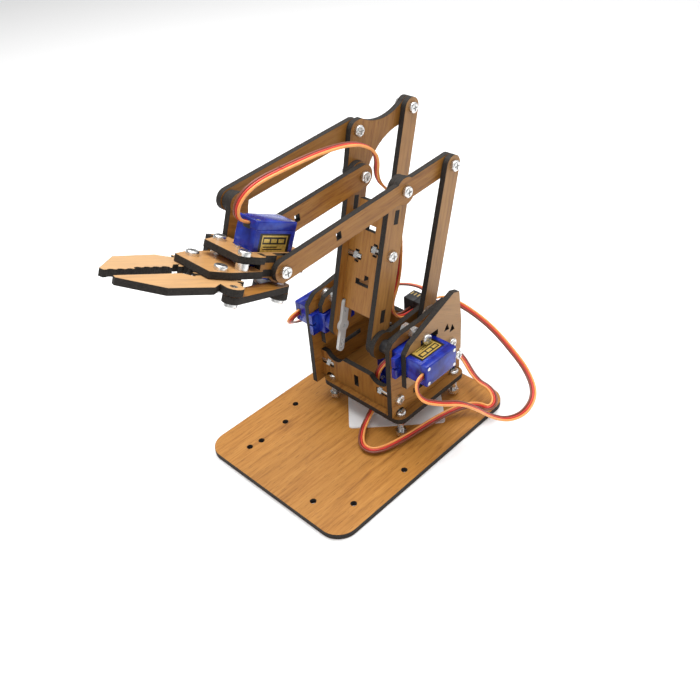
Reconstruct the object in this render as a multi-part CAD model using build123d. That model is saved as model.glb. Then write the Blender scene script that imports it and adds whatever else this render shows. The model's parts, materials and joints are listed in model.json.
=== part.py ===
"""Desktop robot arm of laser-cut 3 mm board with four micro servos.

Frame: origin on the turntable axis at the underside of the base plate, +X towards
the gripper, +Y towards the elbow servo, +Z up. Millimetres.
"""
import os
from math import atan2, cos, degrees, hypot, pi, radians, sin, tan

from build123d import *

os.makedirs("parts", exist_ok=True)

# ---------------------------------------------------------------- driving dimensions
BOARD = 3.0                     # thickness of every laser-cut board

BASE_FRONT = 95.5               # turntable axis to the front edge of the base plate
BASE_REAR = -39.0
BASE_HALF_WIDTH = 50.0
BASE_CORNER_R = 11.0

SHEET_SIDE = 52.0               # square metal sheet that the turret's feet glide over
SHEET_THICK = 0.6

FLOOR_Z = 15.0                  # underside of the turret's floor
FLOOR_HALF_X = 27.5
FLOOR_HALF_Y = 29.0
FOOT_X, FOOT_Y = 22.0, 24.5
FOOT_TIP_Z = BOARD + SHEET_THICK + 0.3

SHOULDER_X, SHOULDER_Z = 19.5, 55.0
UPPER_ARM = 80.0
UPPER_LEAN = 14.5               # degrees the upper arm leans back at rest
FOREARM = 77.0
FOREARM_DROP = 4.0              # degrees the forearm points below level at rest
CRANK = 31.0
LEVEL_SHORT = 20.5              # elbow axis to the top link, and wrist axis to the top link
LEVEL_SHORT_ANGLE = 102.5
LEVEL_LONG = 44.8               # elbow axis to the level link
LEVEL_LONG_ANGLE = 152.5
HAND_PITCH = 25.0               # degrees the palm points above level, in every pose
HAND_Y = -2.0                   # centre plane of the palm

# Layers across the arm, each a (low y, high y) pair, from the elbow servo's side.
LAYER_OUT_LINK = (12.6, 15.6)
LAYER_FOREARM = (9.3, 12.3)
LAYER_ELBOW_COLUMN = (6.0, 9.0)
LAYER_LEVER = (-17.0, -14.0)
LAYER_SHOULDER_COLUMN = (-20.3, -17.3)
LAYER_TRIANGLE = (-23.6, -20.6)
LAYER_TOP_LINK = (-26.9, -23.9)
ELBOW_WALL = (21.0, 24.0)
ELBOW_SERVO_PLATE = (29.6, 32.6)
SHOULDER_SERVO_PLATE = (-28.1, -25.1)
SHOULDER_WALL = (-33.6, -30.6)

BOLT_R = 1.5
HOLE_R = 1.58
HEAD_R = 2.8
HEAD_H = 2.0
NUT_FLATS = 5.5
NUT_H = 2.4

SERVO_LONG = 22.8
SERVO_WIDE = 12.2
SERVO_CASE_H = 22.7             # back of the case to its output end
SERVO_EAR_LOW = 15.9
SERVO_EAR_HIGH = 18.4
SERVO_EAR_LONG = 32.2
SERVO_EAR_HOLE = 13.9           # ear screw from the case's centre
SERVO_AXIS = 5.3                # output shaft from the case's centre
SERVO_BOSS_R = 5.8
SERVO_BOSS_TOP = 26.0
SERVO_SHAFT_R = 2.35
SERVO_SHAFT_TOP = 30.3

HUB_R = 3.5

LEAD_R = 1.2

TEETH = 14
GEAR_PITCH_R = 9.0
FINGER_PIVOT_F = 30.0
CLAW_CRANK = 10.5
HORN_REACH = 13.0
WASHER_R = 7.0
WASHER_H = 0.5


def polar(start, length, angle_deg):
    """Point at a length and an angle from start, in the XZ plane."""
    a = radians(angle_deg)
    return (start[0] + length * cos(a), start[1] + length * sin(a))


SHOULDER = (SHOULDER_X, SHOULDER_Z)
ELBOW = polar(SHOULDER, UPPER_ARM, 90 + UPPER_LEAN)
WRIST = polar(ELBOW, FOREARM, -FOREARM_DROP)
FOREARM_REAR = polar(ELBOW, CRANK, 180 - FOREARM_DROP)
CRANK_END = polar(SHOULDER, CRANK, 180 - FOREARM_DROP)
TOP_FRONT = polar(ELBOW, LEVEL_SHORT, LEVEL_SHORT_ANGLE)
HAND_TOP = polar(WRIST, LEVEL_SHORT, LEVEL_SHORT_ANGLE)
LEVEL_TOP = polar(ELBOW, LEVEL_LONG, LEVEL_LONG_ANGLE)
LEVEL_FOOT = polar(SHOULDER, LEVEL_LONG, LEVEL_LONG_ANGLE)
FLOOR_TOP = FLOOR_Z + BOARD


# ---------------------------------------------------------------- small helpers
def save(name, shape):
    """Write one node."""
    shape.label = name
    export_step(shape, f"parts/{name}.step")


def group(*shapes):
    """Several separate solids kept as one node."""
    solids = []
    for shape in shapes:
        solids += list(shape.solids())
    return Compound(children=solids)


def board_xz(sketch, layer):
    """A board cut from an XZ outline, standing in one layer across the arm."""
    return extrude(Plane.XZ.offset(-layer[1]) * sketch, amount=layer[1] - layer[0])


def hole_at(point, radius=HOLE_R):
    """A hole to subtract from an XZ outline."""
    return Pos(*point) * Circle(radius)


def strip(start, end, half):
    """Rectangle between two points, as wide as 2 * half."""
    length = hypot(end[0] - start[0], end[1] - start[1])
    angle = degrees(atan2(end[1] - start[1], end[0] - start[0]))
    middle = ((start[0] + end[0]) / 2, (start[1] + end[1]) / 2)
    return Pos(*middle) * Rot(0, 0, angle) * Rectangle(length, 2 * half)


def link_outline(start, end, half, end_r=None):
    """A bar with two round ends."""
    r = end_r or half
    return strip(start, end, half) + Pos(*start) * Circle(r) + Pos(*end) * Circle(r)


def box_between(low, high):
    """A box from its lowest to its highest corner."""
    size = [high[i] - low[i] for i in range(3)]
    middle = [(high[i] + low[i]) / 2 for i in range(3)]
    return Pos(*middle) * Box(*size)


def bolt(length):
    """A pan-head bolt along +Z, with the underside of its head at z = 0."""
    cap = extrude(Plane.XY.offset(-HEAD_H) * Circle(HEAD_R), amount=HEAD_H)
    cap = fillet(cap.faces().sort_by(Axis.Z)[0].edges(), 0.9)
    cap -= Pos(0, 0, -HEAD_H + 0.45) * Box(0.7, 3.4, 0.9)
    cap -= Pos(0, 0, -HEAD_H + 0.45) * Box(3.4, 0.7, 0.9)
    return cap + extrude(Circle(BOLT_R), amount=length)


def nut():
    """A hexagon nut along +Z from z = 0, with a clearance bore."""
    return extrude(RegularPolygon(NUT_FLATS / 2, 6, major_radius=False) - Circle(BOLT_R), amount=NUT_H)


def along_y(point, y, sign):
    """Placement whose +Z runs along sign * Y from an XZ point."""
    return Pos(point[0], y, point[1]) * Rot(-90 * sign, 0, 0)


def cross_bolt(point, head_y, tip_y):
    """A bolt along Y whose head's underside is at head_y."""
    sign = 1 if tip_y > head_y else -1
    return along_y(point, head_y, sign) * bolt(abs(tip_y - head_y))


def horn_screw(length):
    """A small wood screw along +Z with its head under z = 0."""
    return extrude(Circle(0.5), amount=length) + extrude(Plane.XY.offset(-0.9) * Circle(1.3), amount=0.9)


def cross_nut(point, y, sign):
    """A nut along Y from y outwards."""
    return along_y(point, y, sign) * nut()


# ---------------------------------------------------------------- servos
def servo_case():
    """A micro servo standing on its back at z = 0, shaft along +Z at x = SERVO_AXIS."""
    case = Box(SERVO_LONG, SERVO_WIDE, SERVO_CASE_H, align=(Align.CENTER, Align.CENTER, Align.MIN))
    case = fillet(case.edges().filter_by(Axis.Z), 0.8)
    ears = Pos(0, 0, SERVO_EAR_LOW) * Box(
        SERVO_EAR_LONG, SERVO_WIDE, SERVO_EAR_HIGH - SERVO_EAR_LOW,
        align=(Align.CENTER, Align.CENTER, Align.MIN),
    )
    case += ears
    boss_h = SERVO_BOSS_TOP - SERVO_CASE_H
    case += Pos(SERVO_AXIS, 0, SERVO_CASE_H + boss_h / 2) * Cylinder(SERVO_BOSS_R, boss_h)
    case += Pos(SERVO_AXIS - SERVO_BOSS_R - 0.6, 0, SERVO_CASE_H + boss_h / 2) * Cylinder(2.6, boss_h)
    for side in (-1, 1):
        hole = Pos(side * SERVO_EAR_HOLE, 0, SERVO_EAR_HIGH) * Cylinder(1.05, 8)
        case -= hole
    bore_bottom = SERVO_BOSS_TOP - 3.0
    bore_h = SERVO_BOSS_TOP - bore_bottom
    case -= Pos(SERVO_AXIS, 0, bore_bottom + bore_h / 2) * Cylinder(SERVO_SHAFT_R + 0.06, bore_h)
    return case


def servo_shaft():
    """The output shaft of the same servo, running in the boss."""
    low = SERVO_BOSS_TOP - 2.8
    high = SERVO_SHAFT_TOP
    return Pos(SERVO_AXIS, 0, (low + high) / 2) * Cylinder(SERVO_SHAFT_R, high - low)


def horn(arms, reach, hub_h, bore_z, thick=1.6):
    """A servo horn whose hub stands from z = 0 to hub_h, with flat arms under z = 0."""
    flat = Circle(HUB_R)
    for angle in arms:
        tip = (reach * cos(radians(angle)), reach * sin(radians(angle)))
        flat += link_outline((0, 0), tip, 2.1)
        for step in range(3):
            share = 1 - 0.18 * step
            flat -= Pos(tip[0] * share, tip[1] * share) * Circle(0.5)
    body = extrude(Plane.XY.offset(-thick) * flat, amount=thick)
    body += extrude(Circle(HUB_R), amount=hub_h)
    body -= extrude(Plane.XY.offset(bore_z) * Circle(SERVO_SHAFT_R), amount=hub_h - bore_z)
    body -= extrude(Plane.XY.offset(-thick) * Circle(1.0), amount=thick + hub_h)
    return body


def servo_on_y(point, back_y, sign):
    """Placement of a servo whose shaft runs along sign * Y through an XZ point."""
    return Pos(point[0] - SERVO_AXIS, back_y, point[1]) * Rot(-90 * sign, 0, 0)


# ---------------------------------------------------------------- base
def base_plate():
    middle_x = (BASE_FRONT + BASE_REAR) / 2
    outline = Pos(middle_x, 0) * RectangleRounded(
        BASE_FRONT - BASE_REAR, 2 * BASE_HALF_WIDTH, BASE_CORNER_R
    )
    for x, y in BASE_HOLES:
        outline -= Pos(x, y) * Circle(BASE_HOLE_R)
    plate = extrude(outline, amount=BOARD)
    for side in (-1, 1):
        plate -= Pos(side * YAW_HORN_REACH, 0, 1.0) * extrude(Circle(0.5), amount=BOARD)
    return plate


BASE_HOLE_R = 1.6
# Two spread pairs and a close group in the front half, for a controller board.
BASE_HOLES = [
    (41.5, -37.5), (55.2, -31.0), (73.6, -30.0), (80.9, -31.1), (85.5, 22.2), (73.7, 38.5), (40.7, 42.6),
]


def glide_sheet():
    sheet = Rot(0, 0, 45) * RectangleRounded(SHEET_SIDE, SHEET_SIDE, 2.0)
    for side in (-1, 1):
        sheet -= Pos(side * YAW_HORN_REACH, 0) * Circle(0.5)
    return extrude(Plane.XY.offset(BOARD) * sheet, amount=SHEET_THICK)


YAW_BACK_Z = FLOOR_TOP + SERVO_EAR_HIGH
YAW_PLACE = Pos(-SERVO_AXIS, 0, YAW_BACK_Z) * Rot(180, 0, 0)
HORN_TOP = BOARD + SHEET_THICK + 1.6
YAW_HORN_REACH = 13.5
YAW_HUB_TOP = 9.2


def build_base():
    save("base_plate", base_plate())
    save("glide_sheet", glide_sheet())
    yaw_tip = YAW_BACK_Z - SERVO_SHAFT_TOP
    yaw_horn = horn((0, 90, 180, 270), YAW_HORN_REACH, YAW_HUB_TOP - HORN_TOP, yaw_tip - HORN_TOP)
    save("yaw_horn", Pos(0, 0, HORN_TOP) * yaw_horn)
    save("yaw_servo_shaft", YAW_PLACE * servo_shaft())
    screws = []
    for side in (-1, 1):
        place = Pos(side * YAW_HORN_REACH, 0, HORN_TOP) * Rot(180, 0, 0)
        screws.append(place * horn_screw(HORN_TOP - 1.0))
    save("yaw_horn_screws", group(*screws))


# ---------------------------------------------------------------- turret
def board_yz(sketch, low_x):
    """A board cut from a YZ outline, standing across the arm with its rear face at low_x."""
    return extrude(Plane.YZ.offset(low_x) * sketch, amount=BOARD)


def turret_floor():
    outline = RectangleRounded(2 * FLOOR_HALF_X, 2 * FLOOR_HALF_Y, 5.0)
    outline += Pos(0, -(FLOOR_HALF_Y + SHOULDER_WALL_OUT) / 2) * Rectangle(
        26, SHOULDER_WALL_OUT - FLOOR_HALF_Y
    )
    outline -= Pos(-SERVO_AXIS, 0) * Rectangle(SERVO_LONG + 0.5, SERVO_WIDE + 0.5)
    outline -= Pos(*YAW_LEAD_HOLE) * Circle(3.2)
    for x in (-FOOT_X, FOOT_X):
        for y in (-FOOT_Y, FOOT_Y):
            outline -= Pos(x, y) * Circle(BOLT_R)
    for x in FLOOR_SLOTS_X:
        outline -= Pos(x, ELBOW_WALL[0] + BOARD / 2) * Rectangle(8, BOARD)
    for side in (-1, 1):
        outline -= Pos(-SERVO_AXIS + side * SERVO_EAR_HOLE, 0) * Circle(0.5)
    return extrude(Plane.XY.offset(FLOOR_Z) * outline, amount=BOARD)


SHOULDER_WALL_OUT = -SHOULDER_WALL[0]
YAW_LEAD_HOLE = (15.5, 3.0)
FLOOR_SLOTS_X = (-10.0, 10.0)
FRONT_X = 21.0
BACK_X = -27.0
WALL_BOLT_Z = 28.0
FRONT_NUT_Y = (13.0, -24.5)
BACK_NUT_Y = (13.0, -24.5)


def t_slot(edge_y, nut_y, z):
    """Slot for a bolt from a board's edge, with the pocket for its nut, in YZ."""
    sign = 1 if nut_y > edge_y else -1
    tip_y = nut_y + sign * 3.0
    slot = Pos((edge_y + tip_y) / 2, z) * Rectangle(abs(tip_y - edge_y), 2 * HOLE_R)
    return slot + Pos(nut_y, z) * Rectangle(NUT_H + 0.1, NUT_FLATS + 0.1)


def cross_board(low_x, top_z, dishes, nuts_y):
    """Front or rear board of the turret, with arch notches over the foot screws."""
    left, right = SHOULDER_WALL[1], ELBOW_WALL[0]
    outline = Pos((left + right) / 2, (FLOOR_TOP + top_z) / 2) * Rectangle(right - left, top_z - FLOOR_TOP)
    for centre, radius in dishes:
        outline -= Pos(*centre) * Circle(radius)
    for y in (-FOOT_Y, FOOT_Y):
        outline -= Pos(y, FLOOR_TOP) * Circle(3.4)
    outline -= t_slot(right, nuts_y[0], WALL_BOLT_Z)
    outline -= t_slot(left, nuts_y[1], WALL_BOLT_Z)
    outline -= Pos(-4.8, 26) * Rectangle(BOARD, 7)
    return board_yz(outline, low_x)


def foot_notches(outline):
    """Cut the arches over the foot screws from a wall's XZ outline."""
    for x in (-FOOT_X, FOOT_X):
        outline -= Pos(x, FLOOR_TOP) * Circle(3.4)
    return outline


def elbow_wall():
    outline = Polygon(
        (-28, 18), (28, 18), (28, 62), (25.5, 65), (19, 67), (4, 67), (-16, 69.4), (-23, 64), (-28, 46),
        align=None,
    )
    outline -= Pos(SHOULDER_X - SERVO_AXIS, SHOULDER_Z) * Rectangle(SERVO_LONG + 1.0, SERVO_WIDE + 1.3)
    outline = foot_notches(outline)
    for x in FLOOR_SLOTS_X:
        outline += Pos(x, FLOOR_Z + BOARD / 2) * Rectangle(8, BOARD)
    outline -= Pos(-8, 30) * Rectangle(10, BOARD)
    outline -= Pos(6, 26) * Rectangle(10, BOARD)
    for point in ELBOW_WALL_BOLTS + WALL_EDGE_BOLTS:
        outline -= hole_at(point)
    return board_xz(outline, ELBOW_WALL)


WALL_EDGE_BOLTS = [(FRONT_X + BOARD / 2, WALL_BOLT_Z), (BACK_X + BOARD / 2, WALL_BOLT_Z)]
ELBOW_WALL_BOLTS = [(11.0, 64.2), (-9.0, 50.0)]
SHOULDER_WALL_BOLTS = [(17.0, 68.0), (-9.0, 50.0)]


def elbow_servo_plate():
    outline = Polygon(
        (26, 41.6), (26, 62.5), (22, 66.5), (-11, 79.5), (-15.5, 78), (-17.5, 60), (-17.5, 41.6), align=None
    )
    case = Pos(SHOULDER_X - SERVO_AXIS, SHOULDER_Z) * Rectangle(SERVO_LONG + 0.6, SERVO_WIDE + 0.8)
    outline -= case
    outline -= Pos(8, 63.0) * Rectangle(13, 3.2)
    outline -= Polygon((-6, 63.5), (-3.5, 60), (-7.5, 59.5), align=None)
    outline -= Polygon((-10, 61), (-8, 57), (-12, 57), align=None)
    for point in ELBOW_WALL_BOLTS:
        outline -= hole_at(point)
    outline -= hole_at((EAR_SCREW_X, SHOULDER_Z), 0.9)
    return board_xz(outline, ELBOW_SERVO_PLATE)


EAR_SCREW_X = SHOULDER_X - SERVO_AXIS - SERVO_EAR_HOLE


def shoulder_outline():
    """Outer outline shared by the two boards that hold the shoulder servo, above its bottom."""
    return [(29.5, 66), (24, 71), (4, 74), (-12, 82.5), (-24, 82.5), (-29, 76)]


def shoulder_wall():
    outline = Polygon((-28, FLOOR_Z), (29.5, FLOOR_Z), *shoulder_outline(), (-29, 40), align=None)
    outline -= Pos(0, FLOOR_Z + BOARD / 2) * Rectangle(26, BOARD)
    outline -= Pos(SHOULDER_X - SERVO_AXIS, SHOULDER_Z) * Rectangle(SERVO_LONG + 0.6, SERVO_WIDE + 0.8)
    outline -= Pos(0, 30) * Rectangle(14, BOARD)
    for point in SHOULDER_WALL_BOLTS + WALL_EDGE_BOLTS:
        outline -= hole_at(point)
    outline -= hole_at(LEVEL_FOOT, BOLT_R)
    outline -= hole_at((EAR_SCREW_X, SHOULDER_Z), 0.9)
    return board_xz(outline, SHOULDER_WALL)


def shoulder_servo_plate():
    outline = Polygon((-24, 42), (25, 42), (25, 66), (22, 70), (4, 73), (-12, 81.5), (-24, 81.5), align=None)
    outline -= Pos(SHOULDER_X - SERVO_AXIS, SHOULDER_Z) * Rectangle(SERVO_LONG + 1.0, SERVO_WIDE + 1.3)
    for point in SHOULDER_WALL_BOLTS:
        outline -= hole_at(point)
    outline -= hole_at(LEVEL_FOOT, BOLT_R)
    return board_xz(outline, SHOULDER_SERVO_PLATE)


def build_turret():
    save("turret_floor", turret_floor())
    save("front_plate", cross_board(FRONT_X, 35, [((11.5, 38.5), 7.0), ((-20.5, 38.5), 7.0)], FRONT_NUT_Y))
    save("back_plate", cross_board(BACK_X, 40, [], BACK_NUT_Y))
    save("elbow_side_inner_plate", elbow_wall())
    save("elbow_servo_plate", elbow_servo_plate())
    save("shoulder_side_inner_plate", shoulder_servo_plate())
    save("shoulder_servo_plate", shoulder_wall())

    feet = []
    foot_nuts = []
    for x in (-FOOT_X, FOOT_X):
        for y in (-FOOT_Y, FOOT_Y):
            head_z = FLOOR_TOP
            feet.append(Pos(x, y, head_z) * Rot(180, 0, 0) * bolt(head_z - FOOT_TIP_Z))
            foot_nuts.append(Pos(x, y, FLOOR_Z - NUT_H) * nut())
            foot_nuts.append(Pos(x, y, FOOT_TIP_Z + 0.4) * nut())
    save("turret_feet", group(*feet, *foot_nuts))

    bolts = []
    nuts = []
    for x, z in WALL_EDGE_BOLTS:
        nuts_y = FRONT_NUT_Y if x > 0 else BACK_NUT_Y
        bolts.append(cross_bolt((x, z), ELBOW_WALL[1], nuts_y[0] - 2.5))
        bolts.append(cross_bolt((x, z), SHOULDER_WALL[0], nuts_y[1] + 2.5))
        for y in nuts_y:
            nuts.append(cross_nut((x, z), y - NUT_H / 2, 1))
    for point in ELBOW_WALL_BOLTS:
        bolts.append(cross_bolt(point, ELBOW_SERVO_PLATE[1], ELBOW_WALL[0] - 2.6))
        nuts.append(cross_nut(point, ELBOW_WALL[0] - NUT_H, 1))
        nuts.append(cross_nut(point, ELBOW_WALL[1], 1))
        nuts.append(cross_nut(point, ELBOW_SERVO_PLATE[0] - NUT_H, 1))
    for point in SHOULDER_WALL_BOLTS:
        bolts.append(cross_bolt(point, SHOULDER_WALL[0], SHOULDER_SERVO_PLATE[1] + 2.6))
        nuts.append(cross_nut(point, SHOULDER_SERVO_PLATE[1], 1))
        spacer = Circle(3.2) - Circle(BOLT_R)
        gap = SHOULDER_SERVO_PLATE[0] - SHOULDER_WALL[1]
        nuts.append(along_y(point, SHOULDER_WALL[1], 1) * extrude(spacer, amount=gap))

    save("yaw_servo", YAW_PLACE * servo_case())
    save("shoulder_servo", servo_on_y(SHOULDER, SHOULDER_BACK_Y, 1) * servo_case())
    save("elbow_servo", servo_on_y(SHOULDER, ELBOW_BACK_Y, -1) * servo_case())
    ears = [
        along_y((EAR_SCREW_X, SHOULDER_Z), ELBOW_SERVO_PLATE[1], -1) * horn_screw(6.0),
        along_y((EAR_SCREW_X, SHOULDER_Z), SHOULDER_WALL[0], 1) * horn_screw(5.4),
    ]
    for side in (-1, 1):
        place = Pos(-SERVO_AXIS + side * SERVO_EAR_HOLE, 0, YAW_BACK_Z - SERVO_EAR_LOW) * Rot(180, 0, 0)
        ears.append(place * horn_screw(5.0))
    save("turret_fasteners", group(*bolts, *nuts, *ears))

    pivot = cross_bolt(LEVEL_FOOT, LAYER_SHOULDER_COLUMN[1] + 0.2, SHOULDER_WALL[0])
    spacer = Circle(3.4) - Circle(BOLT_R)
    gap = LAYER_SHOULDER_COLUMN[0] - 0.2 - SHOULDER_SERVO_PLATE[1]
    sleeve = along_y(LEVEL_FOOT, SHOULDER_SERVO_PLATE[1], 1) * extrude(spacer, amount=gap)
    save("level_pivot", group(pivot, sleeve))


ELBOW_BACK_Y = ELBOW_SERVO_PLATE[0] + SERVO_EAR_LOW
SHOULDER_BACK_Y = SHOULDER_SERVO_PLATE[0] - (SHOULDER_SERVO_PLATE[0] - SHOULDER_WALL[1]) - SERVO_EAR_LOW


# ---------------------------------------------------------------- upper arm
COLUMN_HALF = 6.5
COLUMN_SLOTS = (15.0, 66.5)     # centres of the cross plate's tabs, along the column
COLUMN_SLOT = 7.0
ELBOW_SIDE_BOLT = 47.0
SHOULDER_SIDE_BOLT = 41.0
CROSS_PLATE = (11.5, 70.0)


def column(centre_hole, bolt_along):
    outline = link_outline(SHOULDER, ELBOW, COLUMN_HALF)
    outline -= hole_at(SHOULDER, centre_hole)
    outline -= hole_at(ELBOW, BOLT_R)
    angle = 90 + UPPER_LEAN
    for along in COLUMN_SLOTS:
        spot = polar(SHOULDER, along, angle)
        outline -= Pos(*spot) * Rot(0, 0, angle) * Rectangle(COLUMN_SLOT, BOARD)
    outline -= hole_at(polar(SHOULDER, bolt_along, angle))
    return outline


def cross_plate():
    """Board between the columns, in the plane of their centre line and the arm's width."""
    low, high = LAYER_SHOULDER_COLUMN[1], LAYER_ELBOW_COLUMN[0]
    middle = (low + high) / 2
    start, end = CROSS_PLATE
    outline = Pos((start + end) / 2, middle) * Rectangle(end - start, high - low)
    for along in COLUMN_SLOTS:
        outline += Pos(along, middle) * Rectangle(COLUMN_SLOT, high - low + 2 * BOARD)
    outline -= Pos(start, low + 1.0) * Rectangle(2 * (HORN_REACH + 2.6 - start), 2.0)
    outline -= Pos(end - 3.5, low + 1.8) * Rectangle(8.0, 3.6)
    for edge, sign, along in ((high, -1, ELBOW_SIDE_BOLT), (low, 1, SHOULDER_SIDE_BOLT)):
        tip = edge + sign * 9.0
        outline -= Pos(along, (edge + tip) / 2) * Rectangle(2 * HOLE_R, abs(tip - edge))
        outline -= Pos(along, edge + sign * 6.0) * Rectangle(NUT_FLATS + 1.1, NUT_H + 0.1)
    outline -= Pos(28.0, middle - 1.0) * Rectangle(3.0, 7.0)
    outline -= Pos(29.5, middle + 2.5) * Rectangle(6.0, 3.0)
    outline -= Pos(57.0, middle + 1.0) * Rectangle(3.2, 6.5)
    board = extrude(Plane.XY.offset(-BOARD / 2) * outline, amount=BOARD)
    return Pos(SHOULDER[0], 0, SHOULDER[1]) * Rot(0, -(90 + UPPER_LEAN), 0) * board


def build_upper_arm():
    lean = 90 + UPPER_LEAN
    elbow_spot = polar(SHOULDER, ELBOW_SIDE_BOLT, lean)
    shoulder_spot = polar(SHOULDER, SHOULDER_SIDE_BOLT, lean)
    save("shoulder_column", board_xz(column(HUB_R, SHOULDER_SIDE_BOLT), LAYER_SHOULDER_COLUMN))
    save("elbow_column", board_xz(column(3.2, ELBOW_SIDE_BOLT), LAYER_ELBOW_COLUMN))
    save("column_cross_plate", cross_plate())
    save("column_fasteners", group(
        cross_bolt(elbow_spot, LAYER_ELBOW_COLUMN[1], LAYER_ELBOW_COLUMN[0] - 8.5),
        cross_bolt(shoulder_spot, LAYER_SHOULDER_COLUMN[0], LAYER_SHOULDER_COLUMN[1] + 8.5),
        cross_nut(elbow_spot, LAYER_ELBOW_COLUMN[0] - 6.0 - NUT_H / 2, 1),
        cross_nut(shoulder_spot, LAYER_SHOULDER_COLUMN[1] + 6.0 - NUT_H / 2, 1),
    ))
    place = Pos(SHOULDER[0], LAYER_SHOULDER_COLUMN[1], SHOULDER[1]) * Rot(90, 0, 0)
    tip_y = SHOULDER_BACK_Y + SERVO_SHAFT_TOP
    reach_y = LAYER_SHOULDER_COLUMN[1] - tip_y
    save("shoulder_horn", place * horn((lean, 180 + lean), HORN_REACH, 2.7, reach_y, 1.7))
    save("shoulder_servo_shaft", servo_on_y(SHOULDER, SHOULDER_BACK_Y, 1) * servo_shaft())
    save("elbow_axles", group(
        cross_bolt(ELBOW, LAYER_FOREARM[1] + 0.2, LAYER_ELBOW_COLUMN[0] - 2.6),
        cross_bolt(ELBOW, LAYER_LEVER[1] + 0.2, LAYER_TRIANGLE[0] - 2.6),
        cross_nut(ELBOW, LAYER_ELBOW_COLUMN[0] - NUT_H, 1),
        cross_nut(ELBOW, LAYER_TRIANGLE[0] - 0.2 - NUT_H, 1),
    ))


# ---------------------------------------------------------------- elbow drive and links
LINK_HALF = 5.0
TRIANGLE_HOLLOWS = [((-34.5, -15.4), 28.5), ((-22.5, 47.6), 27.2)]     # from the elbow axis: centre, radius


def link_board(start, end, layer, half=LINK_HALF, holes=(HOLE_R, HOLE_R)):
    outline = link_outline(start, end, half)
    outline -= hole_at(start, holes[0])
    outline -= hole_at(end, holes[1])
    return board_xz(outline, layer)


def crank_plate():
    outline = link_outline(SHOULDER, CRANK_END, LINK_HALF) + Pos(*SHOULDER) * Circle(7.5)
    outline -= hole_at(SHOULDER, 1.0)
    outline -= hole_at(CRANK_END)
    return board_xz(outline, LAYER_FOREARM)


def build_links():
    save("crank_plate", crank_plate())
    seat_y = LAYER_FOREARM[1] + 1.6
    place = Pos(SHOULDER[0], seat_y, SHOULDER[1]) * Rot(-90, 0, 0)
    tip_y = ELBOW_BACK_Y - SERVO_SHAFT_TOP
    save("elbow_horn", place * horn([FOREARM_DROP - 180], 12, 4.6, tip_y - seat_y))
    save("elbow_servo_shaft", servo_on_y(SHOULDER, ELBOW_BACK_Y, -1) * servo_shaft())
    washer_y = LAYER_OUT_LINK[1] + 0.2
    washer = along_y(CRANK_END, washer_y, 1) * extrude(Circle(WASHER_R), amount=WASHER_H)
    save("crank_pin_screw", washer + cross_bolt(CRANK_END, washer_y + WASHER_H, LAYER_FOREARM[0]))
    save("drive_link", link_board(CRANK_END, FOREARM_REAR, LAYER_OUT_LINK))
    save("level_link", link_board(LEVEL_FOOT, LEVEL_TOP, LAYER_SHOULDER_COLUMN, holes=(HOLE_R, BOLT_R)))
    save("level_top_pin", group(
        cross_bolt(LEVEL_TOP, LAYER_SHOULDER_COLUMN[1], LAYER_TRIANGLE[0] - 2.6),
        cross_nut(LEVEL_TOP, LAYER_TRIANGLE[0] - 0.2 - NUT_H, 1),
    ))

    triangle = Polygon(ELBOW, TOP_FRONT, LEVEL_TOP, align=None)
    for start, end in ((ELBOW, TOP_FRONT), (TOP_FRONT, LEVEL_TOP), (LEVEL_TOP, ELBOW)):
        triangle += link_outline(start, end, LINK_HALF)
    for centre, radius in TRIANGLE_HOLLOWS:
        triangle -= Pos(ELBOW[0] + centre[0], ELBOW[1] + centre[1]) * Circle(radius)
    for corner in (ELBOW, TOP_FRONT, LEVEL_TOP):
        triangle += Pos(*corner) * Circle(LINK_HALF)
    triangle -= hole_at(ELBOW)
    triangle -= hole_at(TOP_FRONT, BOLT_R)
    triangle -= hole_at(LEVEL_TOP)
    save("elbow_triangle", board_xz(triangle, LAYER_TRIANGLE))
    save("triangle_top_pin", group(
        cross_bolt(TOP_FRONT, LAYER_TRIANGLE[1], LAYER_TOP_LINK[0] - 2.6),
        cross_nut(TOP_FRONT, LAYER_TOP_LINK[0] - 0.2 - NUT_H, 1),
    ))
    save("top_link", link_board(TOP_FRONT, HAND_TOP, LAYER_TOP_LINK))


# ---------------------------------------------------------------- forearm
FOREARM_HALF = 5.8
FOREARM_SLOT = 0.58 * FOREARM


def forearm_slot():
    spot = polar(ELBOW, FOREARM_SLOT, -FOREARM_DROP)
    return Pos(*spot) * Rot(0, 0, -FOREARM_DROP) * Rectangle(BOARD, BOARD + 0.6)


def build_forearm():
    beam = link_outline(FOREARM_REAR, WRIST, LINK_HALF) + Pos(*ELBOW) * Circle(FOREARM_HALF + 1)
    beam -= hole_at(FOREARM_REAR, BOLT_R)
    beam -= hole_at(ELBOW)
    beam -= hole_at(WRIST)
    save("forearm_beam", board_xz(beam - forearm_slot(), LAYER_FOREARM))
    lever = link_outline(ELBOW, WRIST, FOREARM_HALF) - hole_at(ELBOW) - hole_at(WRIST, BOLT_R)
    save("forearm_lever", board_xz(lever - forearm_slot(), LAYER_LEVER))
    save("forearm_pins", group(
        cross_bolt(FOREARM_REAR, LAYER_OUT_LINK[1] + 0.2, LAYER_FOREARM[0]),
        cross_bolt(WRIST, LAYER_SHOULDER_COLUMN[0] - 0.2, LAYER_LEVER[1]),
    ))


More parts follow.
